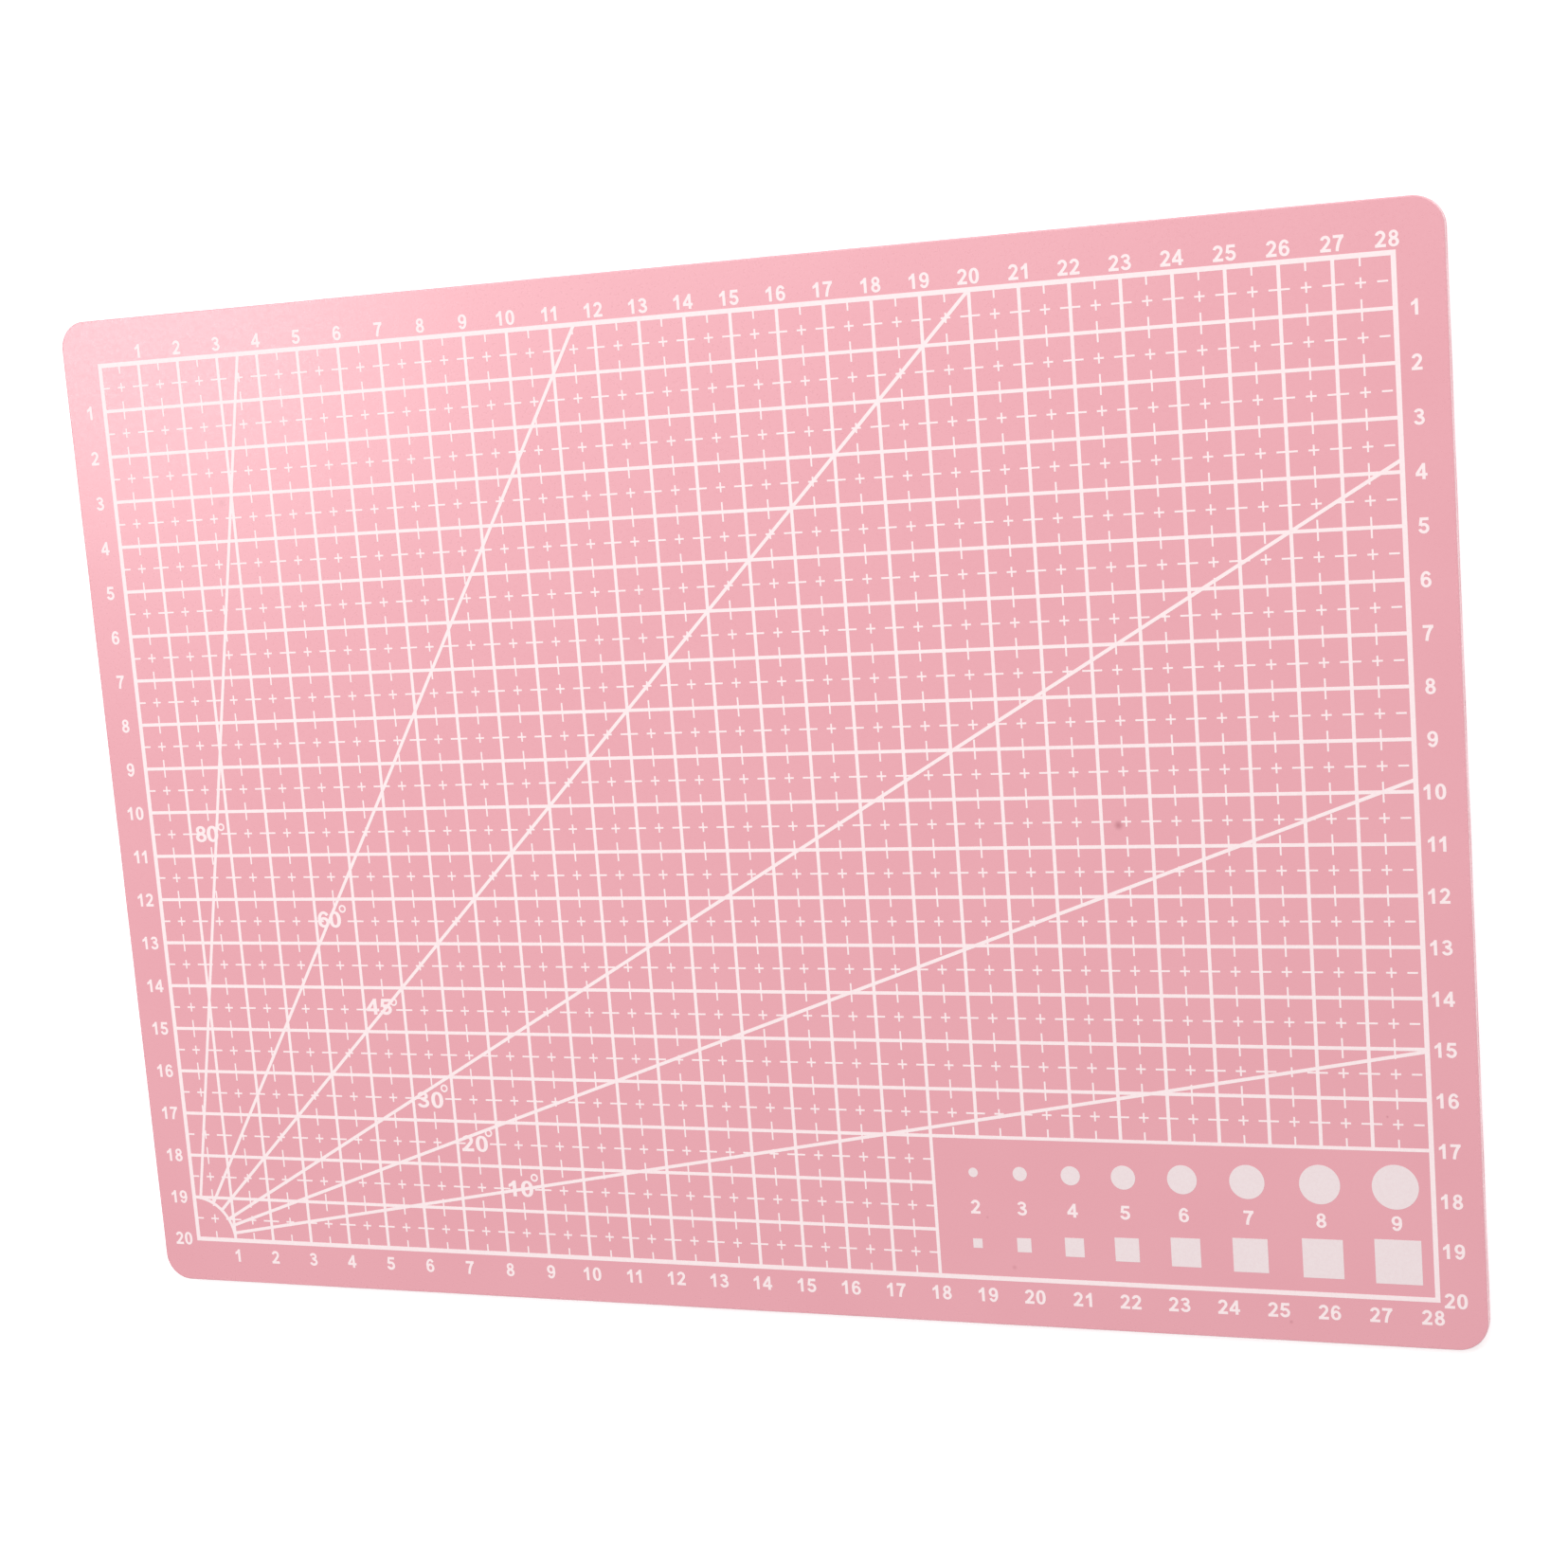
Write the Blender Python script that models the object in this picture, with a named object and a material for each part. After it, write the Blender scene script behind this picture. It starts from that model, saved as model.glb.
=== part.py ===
"""A 300 x 220 mm self-healing cutting mat with a printed centimetre grid.

The mat is three bonded PVC plies: a printed work skin, a core sheet and a back skin. The white ink on the
work skin is modelled as thin raised films: the column lines with their frame, the row lines, the angle guide,
and the size gauges (discs and squares of 2 to 9 mm) in the blank panel at the lower right.

Frame: the origin is the centre of the underside, +X runs along the long side the way the column numbers
grow, +Y points to the side where row 0 is, and +Z points up out of the printed side. Units are metres.
"""

import math

import bmesh
import bpy

MM = 0.001

# Sheet
MAT_LENGTH = 0.300
MAT_WIDTH = 0.220
MAT_THICKNESS = 0.003
CORNER_RADIUS = 0.006
CORNER_SEGMENTS = 10
EDGE_ROUND = 0.00025
BOND_GAP = 0.00002
PLY_THICKNESS = (MAT_THICKNESS - 2 * BOND_GAP) / 3

# Ink films
INK_THICKNESS = 0.00003
INK_GAP = 0.00001
COLUMN_LEVEL = MAT_THICKNESS + INK_GAP
ROW_LEVEL = COLUMN_LEVEL + INK_THICKNESS + INK_GAP
ANGLE_LEVEL = ROW_LEVEL + INK_THICKNESS + INK_GAP

# Printed grid
CELL = 0.010
COLUMNS = 28
ROWS = 20
LAST_COLUMN_EXTRA = 0.0011
LINE_WIDTH = 0.00071
FRAME_WIDTH = 0.00097
GRID_LENGTH = COLUMNS * CELL + LAST_COLUMN_EXTRA
GRID_WIDTH = ROWS * CELL
GRID_LEFT = -GRID_LENGTH / 2
GRID_TOP = GRID_WIDTH / 2

# Blank panel at the lower right of the grid
PANEL_COLUMN = 18
PANEL_ROW = 17

# Angle guide, centred on the grid's lower left corner
GUIDE_ANGLES = (10, 20, 30, 45, 60, 80)
GUIDE_RADIUS = 0.010
ARC_SEGMENTS = 24

# Size gauges: millimetres from the panel's left line to each centre, for gauges of 2 to 9 mm
GAUGE_SIZES = range(2, 10)
GAUGE_OFFSETS = (8.6, 18.5, 29.1, 40.0, 52.0, 65.0, 79.3, 93.9)
DISC_ROW = 17.755
SQUARE_ROW = 19.265
DISC_SEGMENTS = 40

COLLECTION = "cutting_mat"


def clear_scene():
    for obj in list(bpy.data.objects):
        bpy.data.objects.remove(obj)


def make_collection(name):
    collection = bpy.data.collections.new(name)
    bpy.context.scene.collection.children.link(collection)
    return collection


def make_material(name, colour, roughness):
    material = bpy.data.materials.new(name)
    material.use_nodes = True
    shader = material.node_tree.nodes["Principled BSDF"]
    shader.inputs["Base Color"].default_value = (*colour, 1.0)
    shader.inputs["Roughness"].default_value = roughness
    shader.inputs["Metallic"].default_value = 0.0
    material.diffuse_color = (*colour, 1.0)
    return material


def column_x(column):
    """X of a column line; the frame's right side stands a little outside the last whole centimetre."""
    return GRID_LEFT + column * CELL + (LAST_COLUMN_EXTRA if column == COLUMNS else 0.0)


def row_y(row):
    return GRID_TOP - row * CELL


def make_ply(name, bottom, thickness, rounded_side, material, collection):
    """One sheet with rounded corners; rounded_side is +1 or -1 for a softened upper or lower rim, or 0."""
    sheet = bmesh.new()
    bmesh.ops.create_cube(sheet, size=1.0)
    bmesh.ops.scale(sheet, vec=(MAT_LENGTH, MAT_WIDTH, thickness), verts=sheet.verts)
    uprights = [edge for edge in sheet.edges if edge.verts[0].co.z * edge.verts[1].co.z < 0]
    bmesh.ops.bevel(
        sheet,
        geom=uprights,
        offset=CORNER_RADIUS,
        offset_type="OFFSET",
        segments=CORNER_SEGMENTS,
        profile=0.5,
        affect="EDGES",
    )
    if rounded_side:
        rim = [
            edge for edge in sheet.edges
            if all(vert.co.z * rounded_side > 0 for vert in edge.verts)
            and any(abs(face.normal.z) < 0.5 for face in edge.link_faces)
        ]
        bmesh.ops.bevel(sheet, geom=rim, offset=EDGE_ROUND, segments=2, profile=0.5, affect="EDGES")
    mesh = bpy.data.meshes.new(name)
    sheet.to_mesh(mesh)
    sheet.free()
    mesh.materials.append(material)
    obj = bpy.data.objects.new(name, mesh)
    collection.objects.link(obj)
    obj.location.z = bottom + thickness / 2


def rectangle(left, right, bottom, top):
    return [(left, bottom), (right, bottom), (right, top), (left, top)]


def make_film(name, outlines, level, material, collection):
    """A flat film from closed outlines, where an outline inside another one is a window in it."""
    curve = bpy.data.curves.new(name, "CURVE")
    curve.dimensions = "2D"
    curve.fill_mode = "BOTH"
    curve.extrude = INK_THICKNESS / 2
    for outline in outlines:
        spline = curve.splines.new("POLY")
        spline.points.add(len(outline) - 1)
        for point, (x, y) in zip(spline.points, outline):
            point.co = (x, y, 0.0, 1.0)
        spline.use_cyclic_u = True
    curve.materials.append(material)
    obj = bpy.data.objects.new(name, curve)
    collection.objects.link(obj)
    obj.location.z = level + INK_THICKNESS / 2
    return obj


def solid_film(name, outline, level, material, collection):
    """The film of one outline as a mesh with its caps welded, ready to be joined to another."""
    film = make_film(name, [outline], level, material, collection)
    bpy.context.view_layer.update()
    evaluated = film.evaluated_get(bpy.context.evaluated_depsgraph_get())
    mesh = bpy.data.meshes.new_from_object(evaluated)
    matrix = film.matrix_world.copy()
    bpy.data.objects.remove(film)
    weld = bmesh.new()
    weld.from_mesh(mesh)
    bmesh.ops.remove_doubles(weld, verts=weld.verts, dist=1e-7)
    bmesh.ops.recalc_face_normals(weld, faces=weld.faces)
    weld.to_mesh(mesh)
    weld.free()
    obj = bpy.data.objects.new(name, mesh)
    collection.objects.link(obj)
    obj.matrix_world = matrix
    return obj


def half_line(column):
    """Half the width of this column's line; the first and the last one belong to the frame."""
    return (FRAME_WIDTH if column in (0, COLUMNS) else LINE_WIDTH) / 2


def make_column_lines(material, collection):
    """All column lines and the frame round them; the lines right of the panel's column end at its row."""
    half = FRAME_WIDTH / 2
    outlines = [rectangle(column_x(0) - half, column_x(COLUMNS) + half, row_y(ROWS) - half, row_y(0) + half)]
    for column in range(COLUMNS):
        left = column_x(column) + half_line(column)
        right = column_x(column + 1) - half_line(column + 1)
        bottom = row_y(ROWS) + half
        if column >= PANEL_COLUMN:
            bottom = row_y(PANEL_ROW) + LINE_WIDTH / 2
        outlines.append(rectangle(left, right, bottom, row_y(0) - half))
    outlines.append(
        rectangle(
            column_x(PANEL_COLUMN) + LINE_WIDTH / 2,
            column_x(COLUMNS) - half,
            row_y(ROWS) + half,
            row_y(PANEL_ROW) - LINE_WIDTH / 2,
        )
    )
    make_film("column_lines", outlines, COLUMN_LEVEL, material, collection)


def make_row_lines(material, collection):
    """All row lines between the frame's short sides; the lines below the panel's row end at its column."""
    half = FRAME_WIDTH / 2
    left = column_x(0) - half
    right = column_x(COLUMNS) + half
    panel_left = column_x(PANEL_COLUMN) + LINE_WIDTH / 2
    outer = [
        (left, row_y(ROWS - 1) - LINE_WIDTH / 2),
        (panel_left, row_y(ROWS - 1) - LINE_WIDTH / 2),
        (panel_left, row_y(PANEL_ROW) - LINE_WIDTH / 2),
        (right, row_y(PANEL_ROW) - LINE_WIDTH / 2),
        (right, row_y(1) + LINE_WIDTH / 2),
        (left, row_y(1) + LINE_WIDTH / 2),
    ]
    outlines = [outer]
    for row in range(1, ROWS - 1):
        window_right = column_x(COLUMNS) - half
        if row >= PANEL_ROW:
            window_right = column_x(PANEL_COLUMN) - LINE_WIDTH / 2
        outlines.append(
            rectangle(
                column_x(0) + half,
                window_right,
                row_y(row + 1) + LINE_WIDTH / 2,
                row_y(row) - LINE_WIDTH / 2,
            )
        )
    make_film("row_lines", outlines, ROW_LEVEL, material, collection)


def ray_length(angle):
    """Distance from the grid's lower left corner to its frame, along a ray at this angle above +X."""
    return min(GRID_LENGTH / math.cos(angle), GRID_WIDTH / math.sin(angle))


def ray_outline(angle):
    """A bar from the middle of the arc's line out to the middle of the frame's line."""
    centre_x, centre_y = column_x(0), row_y(ROWS)
    along = (math.cos(angle), math.sin(angle))
    across = (-along[1] * LINE_WIDTH / 2, along[0] * LINE_WIDTH / 2)
    start, end = GUIDE_RADIUS, ray_length(angle)
    corners = []
    for distance, side in ((start, -1), (end, -1), (end, 1), (start, 1)):
        corners.append((
            centre_x + along[0] * distance + across[0] * side,
            centre_y + along[1] * distance + across[1] * side,
        ))
    return corners


def circle_point(centre_x, centre_y, radius, turn):
    return centre_x + radius * math.cos(turn), centre_y + radius * math.sin(turn)


def arc_outline():
    """The quarter ring that the rays start from."""
    centre = column_x(0), row_y(ROWS)
    turns = [math.pi / 2 * step / ARC_SEGMENTS for step in range(ARC_SEGMENTS + 1)]
    outer = [circle_point(*centre, GUIDE_RADIUS + LINE_WIDTH / 2, turn) for turn in turns]
    inner = [circle_point(*centre, GUIDE_RADIUS - LINE_WIDTH / 2, turn) for turn in reversed(turns)]
    return outer + inner


def make_angle_guide(material, collection, helpers):
    """The arc with the six rays joined to it."""
    guide = solid_film("angle_guide", arc_outline(), ANGLE_LEVEL, material, collection)
    for degrees in GUIDE_ANGLES:
        ray = solid_film(f"ray_{degrees}", ray_outline(math.radians(degrees)), ANGLE_LEVEL, material, helpers)
        ray.hide_render = True
        ray.display_type = "WIRE"
        join = guide.modifiers.new(f"join_{degrees}", "BOOLEAN")
        join.operation = "UNION"
        join.object = ray


def disc_outline(centre_x, centre_y, radius):
    turns = [math.tau * step / DISC_SEGMENTS for step in range(DISC_SEGMENTS)]
    return [circle_point(centre_x, centre_y, radius, turn) for turn in turns]


def make_gauges(material, collection):
    """A row of discs above a row of squares, each as wide as its number of millimetres."""
    for size, offset in zip(GAUGE_SIZES, GAUGE_OFFSETS):
        centre_x = column_x(PANEL_COLUMN) + offset * MM
        half = size / 2 * MM
        disc = disc_outline(centre_x, row_y(DISC_ROW), half)
        make_film(f"disc_{size}mm", [disc], COLUMN_LEVEL, material, collection)
        middle = row_y(SQUARE_ROW)
        square = rectangle(centre_x - half, centre_x + half, middle - half, middle + half)
        make_film(f"square_{size}mm", [square], COLUMN_LEVEL, material, collection)


def main():
    clear_scene()
    mat = make_collection(COLLECTION)
    helpers = make_collection("helpers")
    skin = make_material("pink_pvc", (0.78, 0.36, 0.42), 0.55)
    core = make_material("core_pvc", (0.72, 0.38, 0.43), 0.65)
    ink = make_material("white_ink", (0.88, 0.80, 0.80), 0.5)

    step = PLY_THICKNESS + BOND_GAP
    make_ply("bottom_skin", 0.0, PLY_THICKNESS, -1, skin, mat)
    make_ply("core_sheet", step, PLY_THICKNESS, 0, core, mat)
    make_ply("top_skin", 2 * step, PLY_THICKNESS, 1, skin, mat)

    make_column_lines(ink, mat)
    make_row_lines(ink, mat)
    make_angle_guide(ink, mat, helpers)
    make_gauges(ink, mat)


main()
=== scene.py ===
"""Looks of the pink cutting mat: three bonded PVC plies with a die-cut edge, and the white print on top.

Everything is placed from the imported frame. Inside the print functions a point is (u, v): u counts columns
from the grid's left line and v counts rows down from its top line, both in centimetres, as the mat's own
numbers do.
"""

import math

import bmesh
import bpy
from mathutils import Matrix, Vector
from mathutils.geometry import delaunay_2d_cdt


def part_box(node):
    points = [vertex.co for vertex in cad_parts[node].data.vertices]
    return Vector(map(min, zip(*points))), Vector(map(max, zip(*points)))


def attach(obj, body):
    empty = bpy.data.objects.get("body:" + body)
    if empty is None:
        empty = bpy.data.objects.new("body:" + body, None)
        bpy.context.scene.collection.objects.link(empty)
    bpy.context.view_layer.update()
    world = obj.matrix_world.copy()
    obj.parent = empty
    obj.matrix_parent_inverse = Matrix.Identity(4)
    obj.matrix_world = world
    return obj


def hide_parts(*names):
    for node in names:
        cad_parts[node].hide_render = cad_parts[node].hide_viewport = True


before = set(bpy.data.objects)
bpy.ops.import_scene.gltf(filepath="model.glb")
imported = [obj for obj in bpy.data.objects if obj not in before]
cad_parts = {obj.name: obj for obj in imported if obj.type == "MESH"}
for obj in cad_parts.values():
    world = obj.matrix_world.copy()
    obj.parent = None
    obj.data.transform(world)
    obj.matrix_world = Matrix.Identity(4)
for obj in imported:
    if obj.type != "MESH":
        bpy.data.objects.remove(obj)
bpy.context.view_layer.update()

MM = 0.001
CM = 0.010

# The sheet: its box from the frame, and the details of its die-cut side
SKIN_LOW, SKIN_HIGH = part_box("top_skin")
BACK_LOW, BACK_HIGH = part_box("bottom_skin")
SURFACE_Z = SKIN_HIGH.z
CORNER_RADIUS = 6 * MM
CORNER_STEPS = 20
EDGE_STEP = 2.5 * MM
RIM_ROUND = 0.25 * MM
RIM_STEPS = 5
RIM_MARGIN = 0.20 * MM
PLY_EASE = 0.03 * MM
CORE_RECESS = 0.03 * MM
CUT_WOBBLE = 0.025 * MM
SHARP_ANGLE = 40

# The printed grid, with widths and reaches in centimetres
COLUMNS = 28
ROWS = 20
FRAME_WIDTH = 0.097
LINE_WIDTH = 0.071
MARK_WIDTH = 0.036
TICK_REACH = 0.20
PLUS_REACH = 0.10
PANEL_COLUMN = 18
PANEL_ROW = 17
GUIDE_RADIUS = 1.0
GAUGE_SIZES = range(2, 10)
INK_THICKNESS = 0.035 * MM

# Where the grid lies on the sheet, from the frame
PRINT_LOW, PRINT_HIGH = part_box("column_lines")
GRID_LEFT = PRINT_LOW.x + FRAME_WIDTH / 2 * CM
GRID_TOP = PRINT_HIGH.y - FRAME_WIDTH / 2 * CM
FRAME_RIGHT = (PRINT_HIGH.x - GRID_LEFT) / CM - FRAME_WIDTH / 2

# Numbers: heights and places in centimetres; a stretch is a digit's extra width
NUMBER_HEIGHT = 0.297
NUMBER_STRETCH = 1.02
GAUGE_NUMBER_HEIGHT = 0.290
GAUGE_NUMBER_STRETCH = 1.07
ANGLE_NUMBER_HEIGHT = 0.360
ANGLE_NUMBER_STRETCH = 1.23
DIGIT_PITCH = 0.777
KERN_ONES = 0.080
NUMBER_SHIFT = 0.008
TOP_NUMBERS_V = -0.255
BOTTOM_NUMBERS_V = ROWS + 0.362
LEFT_NUMBERS_U = -0.400
RIGHT_NUMBERS_U = FRAME_RIGHT + 0.345
GAUGE_NUMBERS_V = 18.487

# Each angle's label: the centre of its first digit, the distance on to its second digit, and the centre of
# its degree ring
ANGLE_LABELS = {
    80: ((1.27, 10.50), 0.30, (1.81, 10.35)),
    60: ((4.20, 12.46), 0.29, (4.70, 12.22)),
    45: ((5.22, 14.43), 0.33, (5.75, 14.32)),
    30: ((6.25, 16.53), 0.35, (6.80, 16.26)),
    20: ((7.26, 17.50), 0.34, (7.79, 17.25)),
    10: ((8.28, 18.49), 0.33, (8.81, 18.23)),
}
DEGREE_RADIUS = 0.070
DEGREE_STROKE = 0.039
LABEL_CLEAR_U = 0.20
LABEL_CLEAR_V = 0.25


def to_frame(u, v):
    """Metres in the row frame for a point in columns and rows."""
    return GRID_LEFT + u * CM, GRID_TOP - v * CM


# ---------------------------------------------------------------- materials

# Colours, as linear RGB
PINK = (0.807, 0.370, 0.420)
PINK_DEEP = (0.779, 0.338, 0.389)
# Paler pink for the cut side and rims: a painted highlight, standing in for the light the rounded edge
# catches
PAINTED_EDGE_HIGHLIGHT_PINK = (0.840, 0.520, 0.555)
FLECK = (0.50, 0.17, 0.21)
CORE_PINK = (0.735, 0.400, 0.430)
INK_WHITE = (0.945, 0.803, 0.811)
INK_THIN = (0.905, 0.725, 0.738)
BROAD_INK_WHITE = (0.848, 0.728, 0.738)
BROAD_INK_THIN = (0.812, 0.665, 0.679)
FLOOR_WHITES = ((0.945, 0.945, 0.945), (0.955, 0.955, 0.955))
BACKDROP = (1.0, 1.0, 1.0)

# Noise scales, as cells per metre
DRIFT_SCALE = 34.0
MOTTLE_SCALE = 2600.0
CUT_SCALE = 2400.0
GRAIN_SCALE = 1500.0
PEBBLE_SCALE = 5200.0
INK_COVER_SCALE = 1800.0
INK_GRAIN_SCALE = 2400.0
FLOOR_SCALE = 3.0

# How far the fine relief stands out
GRAIN_DEPTH = 0.020 * MM
PEBBLE_DEPTH = 0.008 * MM

# The floor: its own light, and the distances in metres between which it turns into the backdrop's white
FLOOR_GLOW = 0.36
FLOOR_FADE = (0.26, 0.60)

# Moulding flecks in the work skin: column, row, radius in millimetres and darkness
FLECKS = (
    (22.34, 10.57, 1.30, 0.80),
    (2.74, 3.16, 1.20, 0.26),
    (19.61, 19.75, 0.75, 0.36),
    (25.24, 20.60, 0.55, 0.50),
    (27.30, 16.35, 0.38, 0.55),
    (19.10, 18.70, 0.45, 0.32),
)


def new_material(name):
    material = bpy.data.materials.new(name)
    material.use_nodes = True
    tree = material.node_tree
    tree.nodes.clear()
    output = tree.nodes.new("ShaderNodeOutputMaterial")
    shader = tree.nodes.new("ShaderNodeBsdfPrincipled")
    tree.links.new(shader.outputs["BSDF"], output.inputs["Surface"])
    return material, tree, shader


def noise(tree, place, scale, detail=3.0, roughness=0.55):
    node = tree.nodes.new("ShaderNodeTexNoise")
    node.inputs["Scale"].default_value = scale
    node.inputs["Detail"].default_value = detail
    node.inputs["Roughness"].default_value = roughness
    tree.links.new(place, node.inputs["Vector"])
    return node.outputs["Fac"]


def remap(tree, value, low, high, out_low, out_high, ease=False):
    """The range from low to high spread over another range, clamped, with both ends eased if asked."""
    node = tree.nodes.new("ShaderNodeMapRange")
    node.interpolation_type = "SMOOTHSTEP" if ease else "LINEAR"
    node.inputs["From Min"].default_value = low
    node.inputs["From Max"].default_value = high
    node.inputs["To Min"].default_value = out_low
    node.inputs["To Max"].default_value = out_high
    tree.links.new(value, node.inputs["Value"])
    return node.outputs["Result"]


def mix(tree, factor, first, second, blend="MIX"):
    """Mixes two colours, each a socket or an RGB tuple, by a factor that is a socket or a number."""
    node = tree.nodes.new("ShaderNodeMix")
    node.data_type = "RGBA"
    node.blend_type = blend
    for socket, value in ((node.inputs[0], factor), (node.inputs[6], first), (node.inputs[7], second)):
        if isinstance(value, tuple):
            socket.default_value = (*value, 1.0)
        elif isinstance(value, float):
            socket.default_value = value
        else:
            tree.links.new(value, socket)
    return node.outputs[2]


def bump(tree, heights, shader):
    """Chains bumps onto the shader's normal: heights lists (socket, strength, distance in metres)."""
    previous = None
    for height, strength, distance in heights:
        node = tree.nodes.new("ShaderNodeBump")
        node.inputs["Strength"].default_value = strength
        node.inputs["Distance"].default_value = distance
        tree.links.new(height, node.inputs["Height"])
        if previous is not None:
            tree.links.new(previous, node.inputs["Normal"])
        previous = node.outputs["Normal"]
    tree.links.new(previous, shader.inputs["Normal"])


def object_place(tree):
    return tree.nodes.new("ShaderNodeTexCoord").outputs["Object"]


def stretched(tree, place, scales):
    """The place with each axis scaled on its own, for a noise that is drawn out one way."""
    node = tree.nodes.new("ShaderNodeVectorMath")
    node.operation = "MULTIPLY"
    node.inputs[1].default_value = scales
    tree.links.new(place, node.inputs[0])
    return node.outputs["Vector"]


def cut_side(tree):
    """One on the die-cut side and its rounded rim, zero on the broad faces: where the scoring and the painted
    edge highlight go.
    """
    split = tree.nodes.new("ShaderNodeSeparateXYZ")
    tree.links.new(tree.nodes.new("ShaderNodeNewGeometry").outputs["Normal"], split.inputs[0])
    level = tree.nodes.new("ShaderNodeMath")
    level.operation = "ABSOLUTE"
    tree.links.new(split.outputs["Z"], level.inputs[0])
    return remap(tree, level.outputs["Value"], 0.60, 0.99, 1.0, 0.0)


def with_flecks(tree, place, colour, flecks):
    """The colour with soft dark spots in it."""
    for column, row, radius, darkness in flecks:
        x, y = to_frame(column, row)
        away = tree.nodes.new("ShaderNodeVectorMath")
        away.operation = "DISTANCE"
        away.inputs[1].default_value = (x, y, SURFACE_Z)
        tree.links.new(place, away.inputs[0])
        spot = remap(tree, away.outputs["Value"], 0.0, radius * MM, darkness, 0.0, ease=True)
        colour = mix(tree, spot, colour, FLECK)
    return colour


def pvc_material(name, base, deep, flecks=()):
    """Satin vinyl: a slow drift and a fine mottle of colour, a pebble grain, and a scored side painted paler
    as an edge highlight.
    """
    material, tree, shader = new_material(name)
    place = object_place(tree)
    drift = remap(tree, noise(tree, place, DRIFT_SCALE, 2.0), 0.35, 0.65, 0.0, 0.35)
    mottle = remap(tree, noise(tree, place, MOTTLE_SCALE, 2.0), 0.3, 0.7, 0.0, 0.22)
    colour = mix(tree, mottle, mix(tree, drift, base, deep), deep)
    colour = with_flecks(tree, place, colour, flecks)
    # The cut side and rims: real scoring streaks over a paler pink that is a painted edge highlight
    drag = noise(tree, stretched(tree, place, (1.0, 1.0, 0.06)), CUT_SCALE, 3.0)
    cut = mix(tree, remap(tree, drag, 0.35, 0.65, 0.0, 0.6), PAINTED_EDGE_HIGHLIGHT_PINK, deep)
    tree.links.new(mix(tree, cut_side(tree), colour, cut), shader.inputs["Base Color"])
    grain = noise(tree, place, GRAIN_SCALE, 2.0, 0.6)
    pebble = noise(tree, place, PEBBLE_SCALE, 3.0, 0.6)
    tree.links.new(remap(tree, grain, 0.3, 0.7, 0.26, 0.34), shader.inputs["Roughness"])
    bump(tree, [(grain, 0.45, GRAIN_DEPTH), (pebble, 0.15, PEBBLE_DEPTH)], shader)
    shader.inputs["IOR"].default_value = 1.5
    shader.inputs["Specular IOR Level"].default_value = 0.9
    return material


def ink_material(name, solid, thin):
    """Matt screen-print ink that covers a little unevenly."""
    material, tree, shader = new_material(name)
    place = object_place(tree)
    cover = remap(tree, noise(tree, place, INK_COVER_SCALE, 3.0), 0.35, 0.7, 0.0, 0.5)
    tree.links.new(mix(tree, cover, solid, thin), shader.inputs["Base Color"])
    grain = noise(tree, place, INK_GRAIN_SCALE, 3.0, 0.6)
    tree.links.new(remap(tree, grain, 0.3, 0.7, 0.70, 0.82), shader.inputs["Roughness"])
    bump(tree, [(grain, 0.25, GRAIN_DEPTH)], shader)
    shader.inputs["IOR"].default_value = 1.45
    shader.inputs["Specular IOR Level"].default_value = 0.2
    return material


def floor_material():
    """Matt white with a little light of its own, that turns into the backdrop's white away from the mat."""
    material, tree, shader = new_material("studio_floor")
    place = object_place(tree)
    tone = remap(tree, noise(tree, place, FLOOR_SCALE, 2.0), 0.3, 0.7, 0.0, 1.0)
    tree.links.new(mix(tree, tone, *FLOOR_WHITES), shader.inputs["Base Color"])
    shader.inputs["Roughness"].default_value = 0.9
    shader.inputs["Specular IOR Level"].default_value = 0.1
    shader.inputs["Emission Color"].default_value = (1.0, 1.0, 1.0, 1.0)
    shader.inputs["Emission Strength"].default_value = FLOOR_GLOW

    away = tree.nodes.new("ShaderNodeVectorMath")
    away.operation = "LENGTH"
    tree.links.new(place, away.inputs[0])
    backdrop = tree.nodes.new("ShaderNodeEmission")
    backdrop.inputs["Color"].default_value = (*BACKDROP, 1.0)
    fade = tree.nodes.new("ShaderNodeMixShader")
    tree.links.new(remap(tree, away.outputs["Value"], *FLOOR_FADE, 0.0, 1.0, ease=True), fade.inputs[0])
    tree.links.new(shader.outputs["BSDF"], fade.inputs[1])
    tree.links.new(backdrop.outputs["Emission"], fade.inputs[2])
    tree.links.new(fade.outputs["Shader"], tree.nodes["Material Output"].inputs["Surface"])
    return material


# ---------------------------------------------------------------- plies


def rim_points(inset):
    """The mat's outline pulled in by inset: straight sides in short steps, and round corners."""
    half_x = SKIN_HIGH.x - inset
    half_y = SKIN_HIGH.y - inset
    radius = CORNER_RADIUS - inset
    points = []
    for quarter in range(4):
        sign_x = 1 if quarter in (0, 3) else -1
        sign_y = 1 if quarter in (0, 1) else -1
        centre = Vector((sign_x * (half_x - radius), sign_y * (half_y - radius)))
        for step in range(CORNER_STEPS + 1):
            turn = math.pi / 2 * (quarter + step / CORNER_STEPS)
            points.append(centre + radius * Vector((math.cos(turn), math.sin(turn))))
        side = (half_x if quarter % 2 == 0 else half_y) - radius
        steps = max(1, round(2 * side / EDGE_STEP))
        start = points[-1]
        run = Vector((-sign_x, 0)) if quarter % 2 == 0 else Vector((0, -sign_y))
        for step in range(1, steps):
            points.append(start + run * (2 * side * step / steps))
    return points


def wobble(point, phase):
    """How far the die cut strays at a point of the outline: a long wave and a shorter, weaker one."""
    x, y = point.x / CM, point.y / CM
    long_wave = math.sin(1.3 * x + 2.1 * y + phase)
    short_wave = math.sin(3.7 * x - 2.9 * y + 2.3 * phase)
    return CUT_WOBBLE * (long_wave + 0.6 * short_wave) / 1.6


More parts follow.
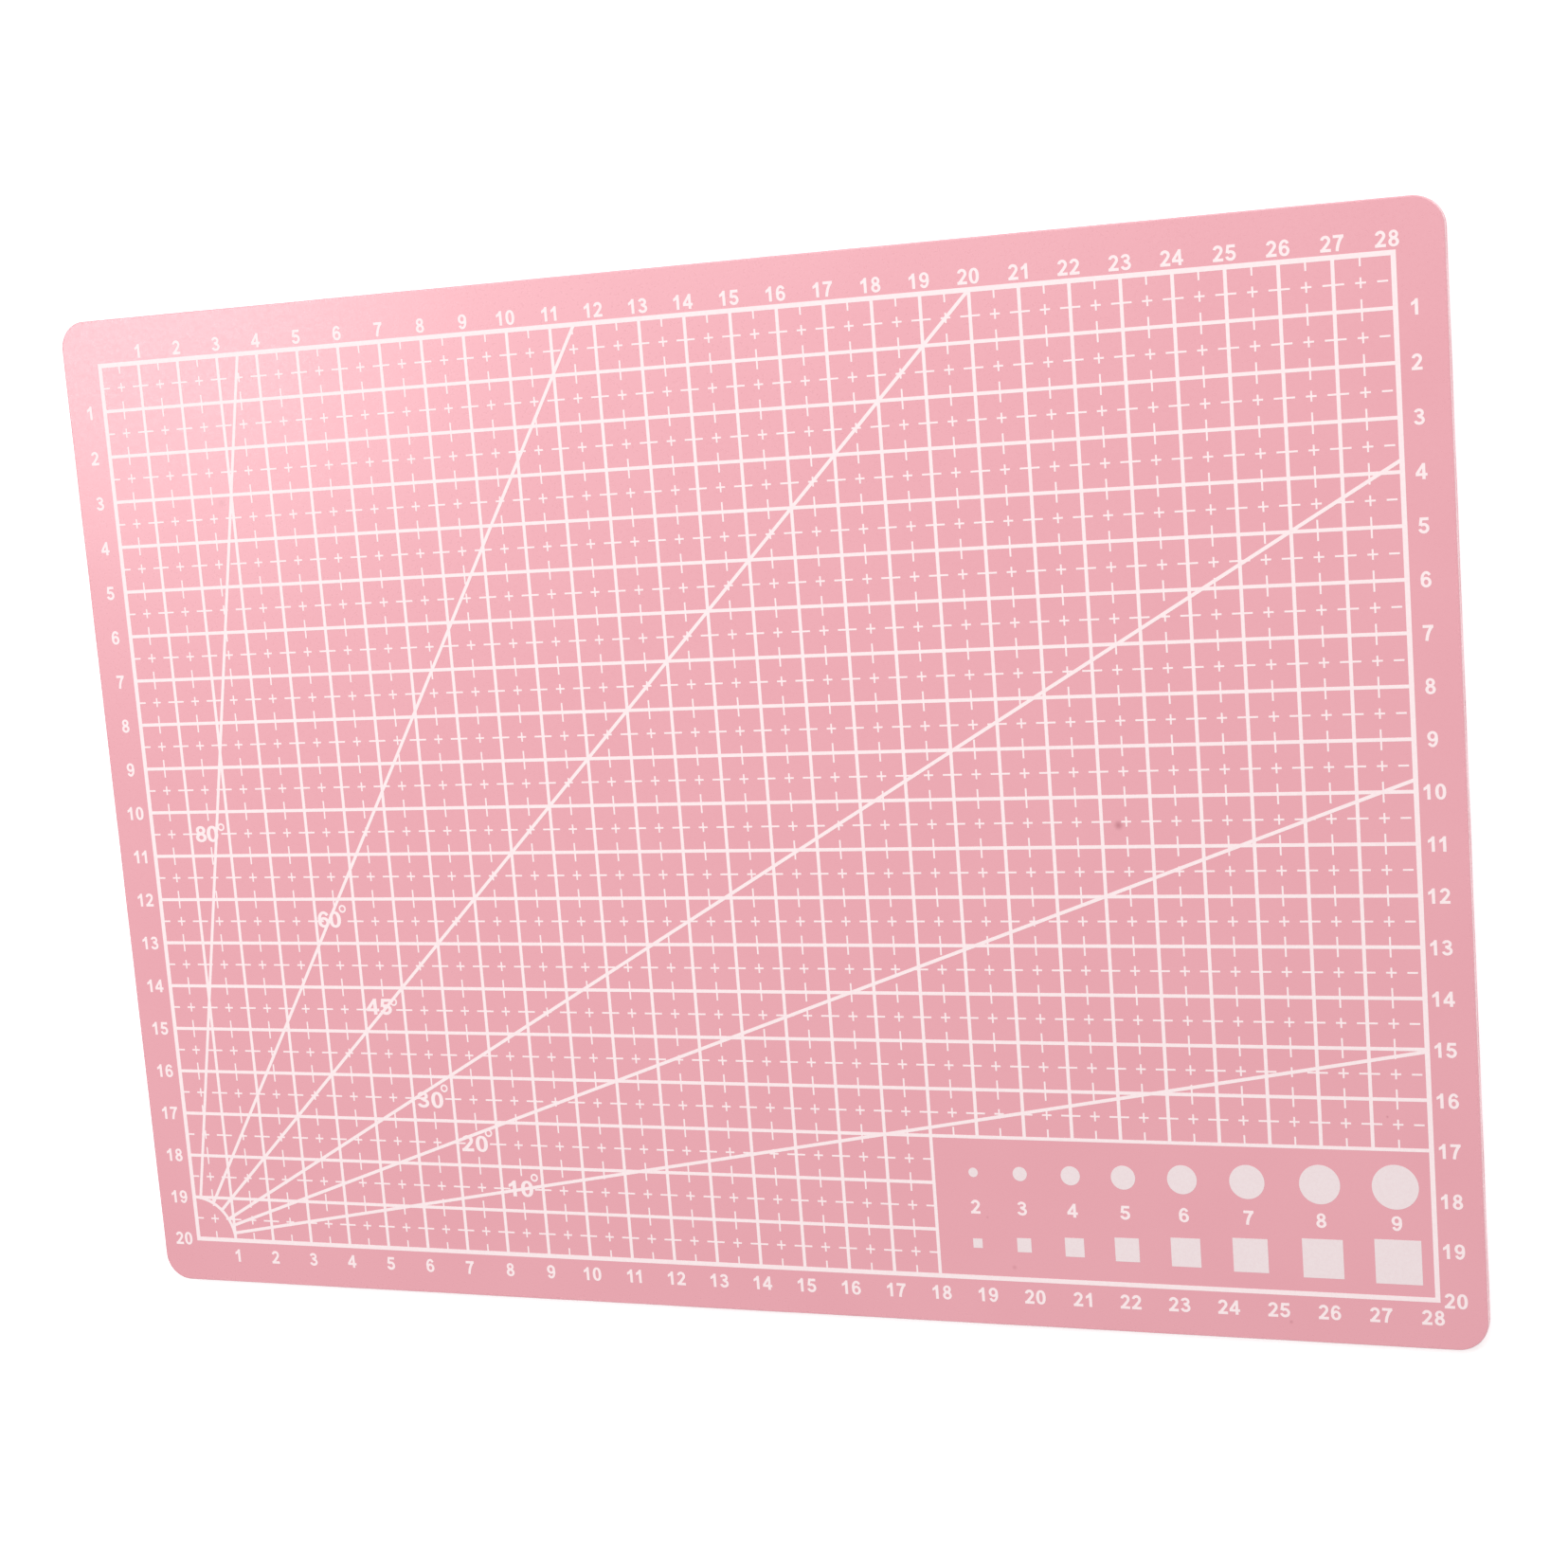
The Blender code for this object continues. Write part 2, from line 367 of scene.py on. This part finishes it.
def make_ply(name, profile, phase, material):
    """A ply whose side follows profile, a list of (inset, height) from its underside to its upper face.

    The phase shifts the cut's wave, so that the plies don't stray together.
    """
    mesh = bmesh.new()
    rings = []
    for inset, height in profile:
        ring = []
        for outer, point in zip(rim_points(0.0), rim_points(inset)):
            stray = wobble(outer, phase) - CUT_WOBBLE
            pulled = point * (1 + stray / outer.length)
            ring.append(mesh.verts.new((pulled.x, pulled.y, height)))
        rings.append(ring)
    count = len(rings[0])
    for lower, upper in zip(rings, rings[1:]):
        for index in range(count):
            after = (index + 1) % count
            mesh.faces.new((lower[index], lower[after], upper[after], upper[index]))
    mesh.faces.new(list(reversed(rings[0])))
    mesh.faces.new(rings[-1])
    bmesh.ops.recalc_face_normals(mesh, faces=mesh.faces)
    data = bpy.data.meshes.new(name)
    mesh.to_mesh(data)
    mesh.free()
    data.materials.append(material)
    data.shade_smooth()
    data.set_sharp_from_angle(angle=math.radians(SHARP_ANGLE))
    obj = bpy.data.objects.new(name, data)
    bpy.context.scene.collection.objects.link(obj)
    return obj


def rounded_profile(low, high, base_inset, low_round, high_round):
    """Side of a ply: a quarter round of each size at its lower and upper rim, and a straight cut between.

    A level margin inside either rim keeps the broad faces flat when the rim is shaded smooth.
    """
    turns = [math.pi / 2 * step / RIM_STEPS for step in range(RIM_STEPS + 1)]
    profile = [(base_inset + low_round + RIM_MARGIN, low)]
    for turn in turns:
        inset = base_inset + low_round * (1 - math.sin(turn))
        profile.append((inset, low + low_round * (1 - math.cos(turn))))
    for turn in turns:
        inset = base_inset + high_round * (1 - math.cos(turn))
        profile.append((inset, high - high_round * (1 - math.sin(turn))))
    profile.append((base_inset + high_round + RIM_MARGIN, high))
    return profile


def build_plies(skin, core):
    """The three plies, closed up against each other; the core fills the height between the two skins."""
    top_side = rounded_profile(SKIN_LOW.z, SKIN_HIGH.z, 0.0, PLY_EASE, RIM_ROUND)
    top = make_ply("top_ply", top_side, 0.4, skin)
    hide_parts("top_skin")
    core_side = rounded_profile(BACK_HIGH.z, SKIN_LOW.z, CORE_RECESS, PLY_EASE, PLY_EASE)
    middle = make_ply("core_ply", core_side, 1.7, core)
    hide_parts("core_sheet")
    back_side = rounded_profile(BACK_LOW.z, BACK_HIGH.z, 0.0, RIM_ROUND, PLY_EASE)
    back = make_ply("back_ply", back_side, 2.9, skin)
    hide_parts("bottom_skin")
    for piece, slot in ((top, "pink_pvc"), (middle, "core_pvc"), (back, "pink_pvc")):
        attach(piece, "root")


# ---------------------------------------------------------------- flat shapes of ink


def box(left, right, top, bottom):
    return [(left, bottom), (right, bottom), (right, top), (left, top)]


def bar(start, end, width):
    """A straight stroke between two points."""
    start, end = Vector(start), Vector(end)
    along = (end - start).normalized()
    side = Vector((-along.y, along.x)) * (width / 2)
    return [tuple(start - side), tuple(end - side), tuple(end + side), tuple(start + side)]


def turns_between(first, last, step=9.0):
    """Angles in radians from first to last, both in degrees, in even steps of about this size."""
    count = max(2, math.ceil(abs(last - first) / step))
    return [math.radians(first + (last - first) * index / count) for index in range(count + 1)]


def ribbon(centre_line, width):
    """Quads along a bent stroke; the sides follow the line's own direction at each point."""
    points = [Vector(point) for point in centre_line]
    sides = []
    for index, point in enumerate(points):
        before = points[max(index - 1, 0)]
        after = points[min(index + 1, len(points) - 1)]
        along = (after - before).normalized()
        side = Vector((-along.y, along.x)) * (width / 2)
        sides.append((tuple(point - side), tuple(point + side)))
    return [[a[0], b[0], b[1], a[1]] for a, b in zip(sides, sides[1:])]


def on_oval(centre, radii, turn, power):
    """A point of an oval; a power above 2 makes it squarer."""
    across, up = math.cos(turn), math.sin(turn)
    x = math.copysign(abs(across) ** (2 / power), across)
    y = math.copysign(abs(up) ** (2 / power), up)
    return centre[0] + radii[0] * x, centre[1] + radii[1] * y


def ring(centre, outer, inner, power=2.0, step=9.0):
    """Quads of a closed ring between two ovals, given as (half width, half height)."""
    turns = turns_between(0, 360, step)
    inside = [on_oval(centre, inner, turn, power) for turn in turns]
    outside = [on_oval(centre, outer, turn, power) for turn in turns]
    return [list(quad) for quad in zip(inside, outside, outside[1:], inside[1:])]


def oval_arc(centre, radii, first, last):
    """Points along part of an oval, from the first to the last angle in degrees."""
    return [
        (centre[0] + radii[0] * math.cos(turn), centre[1] + radii[1] * math.sin(turn))
        for turn in turns_between(first, last)
    ]


# ---------------------------------------------------------------- digits

# A digit's cell is one unit high and DIGIT_PITCH wide, with its origin at the lower left
STROKE = 0.187


def bent(start, pull, end, count=8):
    """Points of a curve from start to end that leans towards pull."""
    points = []
    for index in range(count + 1):
        t = index / count
        a, b, c = (1 - t) ** 2, 2 * t * (1 - t), t * t
        points.append((a * start[0] + b * pull[0] + c * end[0], a * start[1] + b * pull[1] + c * end[1]))
    return points


def half_turned(shapes):
    """The same shapes turned by half a turn in the digit's cell."""
    return [[(DIGIT_PITCH - x, 1.0 - y) for x, y in shape] for shape in shapes]


def digit_zero():
    return ring((0.388, 0.5), (0.334, 0.512), (0.124, 0.350), power=2.25)


def digit_one():
    stem = [(0.339, 0.0), (0.541, 0.0), (0.541, 1.0), (0.385, 1.0), (0.339, 0.900)]
    flag = [(0.120, 0.570), (0.230, 0.615), (0.360, 0.695), (0.385, 1.0), (0.286, 0.866), (0.120, 0.756)]
    return [stem, flag]


def digit_two():
    head = oval_arc((0.372, 0.700), (0.218, 0.220), 172, -28)
    tail = bent(head[-1], (0.500, 0.470), (0.165, 0.110))
    return ribbon(head + tail[1:], STROKE) + [box(0.042, 0.694, 0.187, 0.0)]


def digit_three():
    upper = oval_arc((0.372, 0.738), (0.210, 0.180), 168, -92)
    lower = oval_arc((0.380, 0.287), (0.243, 0.203), 96, -170)
    return ribbon(upper, 0.174) + ribbon(lower, 0.180) + [box(0.265, 0.400, 0.642, 0.468)]


def digit_four():
    stem = box(0.419, 0.614, 1.0, 0.0)
    crossbar = box(0.026, 0.734, 0.382, 0.206)
    slope = [(0.026, 0.206), (0.210, 0.325), (0.430, 0.690), (0.614, 1.0), (0.446, 1.0), (0.026, 0.391)]
    return [stem, crossbar, slope]


def digit_five():
    top = box(0.152, 0.678, 1.0, 0.814)
    stem = [(0.076, 0.475), (0.252, 0.520), (0.318, 0.860), (0.300, 1.0), (0.152, 1.0)]
    bowl = oval_arc((0.372, 0.325), (0.243, 0.238), 138, -168)
    return [top, stem] + ribbon(bowl, STROKE)


def digit_six():
    bowl = ring((0.393, 0.318), (0.322, 0.333), (0.133, 0.166))
    back = oval_arc((0.405, 0.500), (0.256, 0.428), 205, 36)
    return bowl + ribbon(back, 0.174)


def digit_seven():
    top = box(0.057, 0.708, 1.0, 0.814)
    leg = bent((0.600, 0.880), (0.325, 0.520), (0.285, 0.0))
    return [top] + ribbon(leg, 0.194)


def digit_eight():
    upper = ring((0.388, 0.735), (0.279, 0.274), (0.103, 0.114))
    lower = ring((0.388, 0.280), (0.319, 0.293), (0.128, 0.132))
    return upper + lower


def digit_nine():
    return half_turned(digit_six())


DIGITS = (
    digit_zero(), digit_one(), digit_two(), digit_three(), digit_four(),
    digit_five(), digit_six(), digit_seven(), digit_eight(), digit_nine(),
)


def digit_shapes(digit, centre, height, stretch):
    """One digit's shapes about its cell's centre; the digit stands upright, so its height runs against v."""
    width = height * stretch
    return [
        [(centre[0] + (x - DIGIT_PITCH / 2) * width, centre[1] + (0.5 - y) * height) for x, y in shape]
        for shape in DIGITS[int(digit)]
    ]


def number_shapes(number, centre, height=NUMBER_HEIGHT, stretch=NUMBER_STRETCH):
    """A whole number centred by its ink, with a pair of ones set closer."""
    pitch = (DIGIT_PITCH - (KERN_ONES if number == 11 else 0.0)) * height * stretch
    shapes = []
    for index, digit in enumerate(str(number)):
        shapes += digit_shapes(digit, (centre[0] + index * pitch, centre[1]), height, stretch)
    across = [point[0] for shape in shapes for point in shape]
    shift = centre[0] - (min(across) + max(across)) / 2
    return [[(u + shift, v) for u, v in shape] for shape in shapes]


# ---------------------------------------------------------------- the print

# How the shapes are joined: only what lies inside them is filled, and near points become one
FILL_INSIDE = 1
WELD_DISTANCE = 1e-5


def in_panel(u, v):
    """True inside the gauge panel, where there is no grid; the panel's own left and top lines are outside."""
    return u > PANEL_COLUMN and v > PANEL_ROW


def grid_lines():
    """The frame and the whole-centimetre lines, leaving the gauge panel clear."""
    half = FRAME_WIDTH / 2
    shapes = [
        box(-half, FRAME_RIGHT + half, -half, half),
        box(-half, FRAME_RIGHT + half, ROWS - half, ROWS + half),
        box(-half, half, -half, ROWS + half),
        box(FRAME_RIGHT - half, FRAME_RIGHT + half, -half, ROWS + half),
    ]
    for column in range(1, COLUMNS):
        end = PANEL_ROW if column > PANEL_COLUMN else ROWS
        shapes.append(bar((column, 0), (column, end), LINE_WIDTH))
    for row in range(1, ROWS):
        end = PANEL_COLUMN if row > PANEL_ROW else FRAME_RIGHT
        shapes.append(bar((0, row), (end, row), LINE_WIDTH))
    return shapes


def covered_by_label(u, v):
    """True where an angle label stands, so that the plus mark of that cell is left out."""
    for (first_u, label_v), pitch, _ in ANGLE_LABELS.values():
        beside = first_u - LABEL_CLEAR_U < u < first_u + pitch + LABEL_CLEAR_U
        if beside and abs(v - label_v) < LABEL_CLEAR_V:
            return True
    return False


def half_marks():
    """Ticks across every line at the half centimetres, and a plus in the middle of every cell."""
    shapes = []
    for column in range(COLUMNS + 1):
        for row in range(ROWS):
            if in_panel(column, row + 0.5):
                continue
            panel_side = column == PANEL_COLUMN and row >= PANEL_ROW
            left = 0.0 if column == 0 else TICK_REACH
            right = 0.0 if column == COLUMNS or panel_side else TICK_REACH
            shapes.append(bar((column - left, row + 0.5), (column + right, row + 0.5), MARK_WIDTH))
    for row in range(ROWS + 1):
        for column in range(COLUMNS):
            if in_panel(column + 0.5, row):
                continue
            panel_side = row == PANEL_ROW and column >= PANEL_COLUMN
            above = 0.0 if row == 0 else TICK_REACH
            below = 0.0 if row == ROWS or panel_side else TICK_REACH
            shapes.append(bar((column + 0.5, row - above), (column + 0.5, row + below), MARK_WIDTH))
    for column in range(COLUMNS):
        for row in range(ROWS):
            u, v = column + 0.5, row + 0.5
            if in_panel(u, v) or covered_by_label(u, v):
                continue
            shapes.append(bar((u - PLUS_REACH, v), (u + PLUS_REACH, v), MARK_WIDTH))
            shapes.append(bar((u, v - PLUS_REACH), (u, v + PLUS_REACH), MARK_WIDTH))
    return shapes


def angle_guide():
    """The quarter arc in the lower left corner and the six rays from it to the frame."""
    corner = Vector((0, ROWS))
    arc = [
        (corner.x + GUIDE_RADIUS * math.cos(turn), corner.y - GUIDE_RADIUS * math.sin(turn))
        for turn in turns_between(0, 90, 4.0)
    ]
    shapes = ribbon(arc, LINE_WIDTH)
    for degrees in sorted(ANGLE_LABELS):
        turn = math.radians(degrees)
        along = Vector((math.cos(turn), -math.sin(turn)))
        reach = min(FRAME_RIGHT / math.cos(turn), ROWS / math.sin(turn))
        shapes.append(bar(corner + along * GUIDE_RADIUS, corner + along * reach, LINE_WIDTH))
    return shapes


def angle_labels():
    """Each ray's angle in degrees, with a small ring for the degree sign."""
    outer = DEGREE_RADIUS + DEGREE_STROKE / 2
    inner = DEGREE_RADIUS - DEGREE_STROKE / 2
    shapes = []
    for degrees, ((first_u, v), pitch, sign) in ANGLE_LABELS.items():
        for index, digit in enumerate(str(degrees)):
            place = (first_u + index * pitch, v)
            shapes += digit_shapes(digit, place, ANGLE_NUMBER_HEIGHT, ANGLE_NUMBER_STRETCH)
        shapes += ring(sign, (outer, outer), (inner, inner), step=15.0)
    return shapes


def edge_numbers():
    """The column numbers above and below the grid, and the row numbers on its left and right."""
    shapes = []
    for column in range(1, COLUMNS + 1):
        shapes += number_shapes(column, (column + NUMBER_SHIFT, TOP_NUMBERS_V))
        shapes += number_shapes(column, (column + NUMBER_SHIFT, BOTTOM_NUMBERS_V))
    for row in range(1, ROWS + 1):
        shapes += number_shapes(row, (LEFT_NUMBERS_U, row + NUMBER_SHIFT))
        shapes += number_shapes(row, (RIGHT_NUMBERS_U, row + NUMBER_SHIFT))
    return shapes


def node_middle(name):
    """Centre of a printed gauge, in columns and rows."""
    low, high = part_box(name)
    return ((low.x + high.x) / 2 - GRID_LEFT) / CM, (GRID_TOP - (low.y + high.y) / 2) / CM


def gauges():
    """The discs and squares of 2 to 9 mm."""
    shapes = []
    for size in GAUGE_SIZES:
        half = size * MM / CM / 2
        u, v = node_middle(f"disc_{size}mm")
        rim = [(u + half * math.cos(turn), v + half * math.sin(turn)) for turn in turns_between(0, 360, 5.0)]
        shapes.append(rim[:-1])
        u, v = node_middle(f"square_{size}mm")
        shapes.append(box(u - half, u + half, v - half, v + half))
    return shapes


def gauge_numbers():
    """Each gauge's size in millimetres, between its disc and its square."""
    shapes = []
    for size in GAUGE_SIZES:
        u, _ = node_middle(f"disc_{size}mm")
        shapes += number_shapes(size, (u, GAUGE_NUMBERS_V), GAUGE_NUMBER_HEIGHT, GAUGE_NUMBER_STRETCH)
    return shapes


def signed_area(shape):
    return sum(a[0] * b[1] - b[0] * a[1] for a, b in zip(shape, shape[1:] + shape[:1])) / 2


def make_print(name, shapes, material):
    """Joins overlapping flat shapes into one film of ink lying on the work skin."""
    points, faces = [], []
    for shape in shapes:
        faces.append(list(range(len(points), len(points) + len(shape))))
        points += [Vector(point) for point in (shape if signed_area(shape) > 0 else reversed(shape))]
    filled = delaunay_2d_cdt(points, [], faces, FILL_INSIDE, WELD_DISTANCE)
    joined, _, triangles, _, _, sources = filled
    mesh = bmesh.new()
    corners = []
    for point in joined:
        x, y = to_frame(point.x, point.y)
        corners.append(mesh.verts.new((x, y, SURFACE_Z + INK_THICKNESS)))
    for triangle, source in zip(triangles, sources):
        if source:
            mesh.faces.new([corners[index] for index in triangle])
    unused = [vert for vert in mesh.verts if not vert.link_faces]
    bmesh.ops.delete(mesh, geom=unused, context="VERTS")
    for face in mesh.faces:
        face.normal_update()
        if face.normal.z < 0:
            face.normal_flip()
    data = bpy.data.meshes.new(name)
    mesh.to_mesh(data)
    mesh.free()
    data.materials.append(material)
    obj = bpy.data.objects.new(name, data)
    bpy.context.scene.collection.objects.link(obj)
    film = obj.modifiers.new("ink", "SOLIDIFY")
    film.thickness = INK_THICKNESS
    film.offset = -1.0
    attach(obj, "root")
    return obj


def build_print(ink, broad_ink):
    """The three films of ink; together they replace every printed node of the CAD."""
    line_shapes = grid_lines() + half_marks() + angle_guide() + angle_labels()
    lines = make_print("grid_print", line_shapes, ink)
    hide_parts("column_lines", "row_lines", "angle_guide")
    make_print("number_print", edge_numbers() + gauge_numbers(), ink)
    panel = make_print("gauge_print", gauges(), broad_ink)
    for size in GAUGE_SIZES:
        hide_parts(f"disc_{size}mm", f"square_{size}mm")


# ---------------------------------------------------------------- studio

CAMERA_PLACE = Vector((0.2138, 0.0865, 0.5134))
CAMERA_AIM = Vector((0.0132, 0.0038, 0.003))
CAMERA_ROLL = 4.47
CAMERA_LENS = 62.1

# Square soft lights: place, aim, side in metres and power in watts. The sheen light stands where the vinyl
# mirrors it into the camera from the mat's far left corner.
LIGHTS = {
    "sheen": ((-0.571, 0.175, 0.671), (-0.12, 0.10, 0.0), 0.25, 1.03),
    "key": ((-0.30, 0.50, 0.90), (0.0, 0.0, 0.0), 0.6, 2.7),
    "top": ((0.30, 0.90, 1.00), (0.0, 0.0, 0.0), 0.8, 6.8),
}
AMBIENT = 0.56
FLOOR_SIZE = 6.0
FLOOR_GAP = 0.2 * MM


def build_camera():
    """The camera at the photograph's viewing angle, rolled a little about its line of sight."""
    data = bpy.data.cameras.new("camera")
    data.sensor_width = 36.0
    data.lens = CAMERA_LENS
    data.clip_start = 0.01
    camera = bpy.data.objects.new("camera", data)
    bpy.context.scene.collection.objects.link(camera)
    look = (CAMERA_AIM - CAMERA_PLACE).normalized()
    up = (Vector((0, 1, 0)) - look * look.y).normalized()
    up = Matrix.Rotation(math.radians(CAMERA_ROLL), 3, look) @ up
    right = look.cross(up)
    turn = Matrix((right, up, -look)).transposed()
    camera.matrix_world = Matrix.Translation(CAMERA_PLACE) @ turn.to_4x4()
    bpy.context.scene.camera = camera


def soft_light(name, place, aim, side, power):
    data = bpy.data.lights.new(name, "AREA")
    data.shape = "SQUARE"
    data.size = side
    data.energy = power
    light = bpy.data.objects.new(name, data)
    bpy.context.scene.collection.objects.link(light)
    light.location = place
    light.rotation_euler = (Vector(aim) - Vector(place)).to_track_quat("-Z", "Y").to_euler()


def build_floor():
    bpy.ops.mesh.primitive_plane_add(size=FLOOR_SIZE, location=(0, 0, -FLOOR_GAP))
    floor = bpy.context.object
    floor.name = "floor"
    floor.data.materials.append(floor_material())


def build_world():
    """Soft ambient light on the mat, behind which the camera sees the plain backdrop."""
    world = bpy.data.worlds.new("studio")
    world.use_nodes = True
    tree = world.node_tree
    backdrop = tree.nodes.new("ShaderNodeBackground")
    backdrop.inputs["Color"].default_value = (*BACKDROP, 1.0)
    ambient = tree.nodes["Background"]
    ambient.inputs["Color"].default_value = (1.0, 1.0, 1.0, 1.0)
    ambient.inputs["Strength"].default_value = AMBIENT
    seen = tree.nodes.new("ShaderNodeLightPath")
    choose = tree.nodes.new("ShaderNodeMixShader")
    tree.links.new(seen.outputs["Is Camera Ray"], choose.inputs[0])
    tree.links.new(ambient.outputs[0], choose.inputs[1])
    tree.links.new(backdrop.outputs[0], choose.inputs[2])
    tree.links.new(choose.outputs[0], tree.nodes["World Output"].inputs["Surface"])
    bpy.context.scene.world = world


def build_studio():
    build_floor()
    build_world()
    for name, (place, aim, side, power) in LIGHTS.items():
        soft_light(name, place, aim, side, power)
    bpy.context.scene.view_settings.view_transform = "Standard"


def main():
    skin = pvc_material("pink_pvc", PINK, PINK_DEEP, FLECKS)
    core = pvc_material("core_pvc", CORE_PINK, CORE_PINK)
    ink = ink_material("white_ink", INK_WHITE, INK_THIN)
    broad_ink = ink_material("broad_white_ink", BROAD_INK_WHITE, BROAD_INK_THIN)
    build_plies(skin, core)
    build_print(ink, broad_ink)
    build_camera()
    build_studio()


main()
